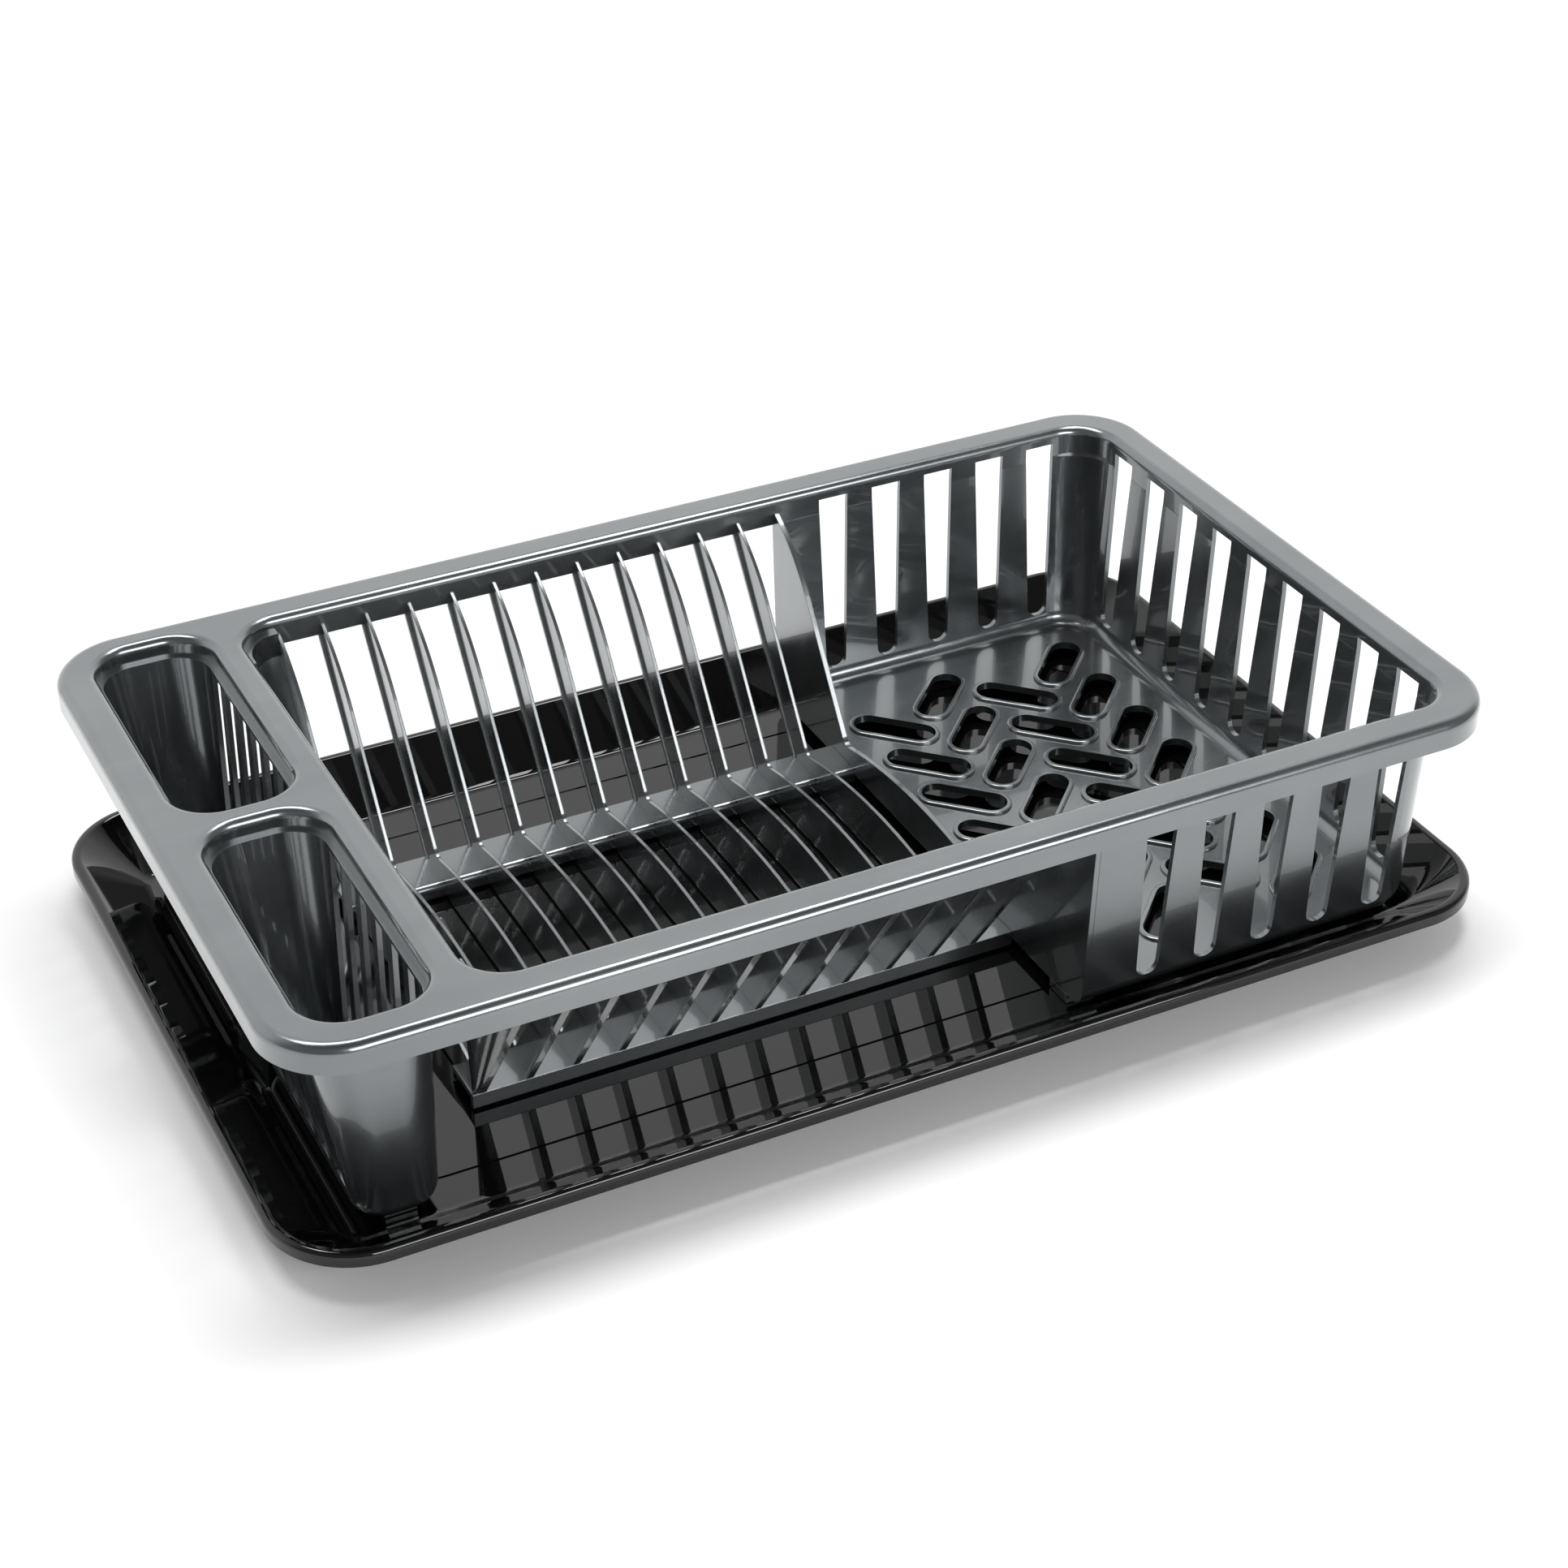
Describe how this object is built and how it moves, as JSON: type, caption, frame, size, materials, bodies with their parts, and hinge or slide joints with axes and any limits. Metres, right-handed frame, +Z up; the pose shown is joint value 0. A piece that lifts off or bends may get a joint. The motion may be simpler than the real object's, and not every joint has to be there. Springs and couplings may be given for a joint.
{
  "type": "dish drying rack",
  "caption": "One-piece plastic dish rack with plate blades, a slotted basket and cutlery cups, standing loose in a shallow black drip tray.",
  "frame": {"origin": "centre of the tray's footprint, on the worktop", "axes": "+X along the rack from the cutlery cups to the basket, +Y to the back, +Z up"},
  "size_m": [0.49, 0.3, 0.102],
  "materials": {
    "rack_plastic": "satin silver-grey moulded plastic with a slight pearl, glossier inside",
    "tray_plastic": "high-gloss black moulded plastic"
  },
  "bodies": {
    "tray": {"tray_corner_front_left": "tray_plastic", "tray_corner_front_right": "tray_plastic", "tray_corner_rear_left": "tray_plastic", "tray_corner_rear_right": "tray_plastic", "tray_floor": "tray_plastic", "tray_wall_front": "tray_plastic", "tray_wall_left": "tray_plastic", "tray_wall_rear": "tray_plastic", "tray_wall_right": "tray_plastic"},
    "rack": {"basket_feet": "rack_plastic", "basket_floor": "rack_plastic", "basket_front": "rack_plastic", "basket_panel": "rack_plastic", "basket_post_front": "rack_plastic", "basket_post_rear": "rack_plastic", "basket_rear": "rack_plastic", "basket_right": "rack_plastic", "bay_gusset_front": "rack_plastic", "bay_gusset_rear": "rack_plastic", "cup_back_base": "rack_plastic", "cup_back_front": "rack_plastic", "cup_back_left": "rack_plastic", "cup_back_rear": "rack_plastic", "cup_back_right": "rack_plastic", "cup_bridge": "rack_plastic", "cup_feet": "rack_plastic", "cup_front_base": "rack_plastic", "cup_front_front": "rack_plastic", "cup_front_left": "rack_plastic", "cup_front_rear": "rack_plastic", "cup_front_right": "rack_plastic", "plate_blade_01": "rack_plastic", "plate_blade_02": "rack_plastic", "plate_blade_03": "rack_plastic", "plate_blade_04": "rack_plastic", "plate_blade_05": "rack_plastic", "plate_blade_06": "rack_plastic", "plate_blade_07": "rack_plastic", "plate_blade_08": "rack_plastic", "plate_blade_09": "rack_plastic", "plate_blade_10": "rack_plastic", "plate_blade_11": "rack_plastic", "plate_blade_12": "rack_plastic", "plate_divider": "rack_plastic", "rail_front": "rack_plastic", "rail_rear": "rack_plastic", "rim_corner_front_left": "rack_plastic", "rim_corner_front_right": "rack_plastic", "rim_corner_rear_left": "rack_plastic", "rim_corner_rear_right": "rack_plastic", "rim_front": "rack_plastic", "rim_left": "rack_plastic", "rim_rear": "rack_plastic", "rim_right": "rack_plastic"}
  },
  "joints": [
    {"name": "rack_lift", "type": "slide", "parent": "tray", "child": "rack", "axis": [0, 0, 1], "range_m": [0, 0.15]}
  ]
}
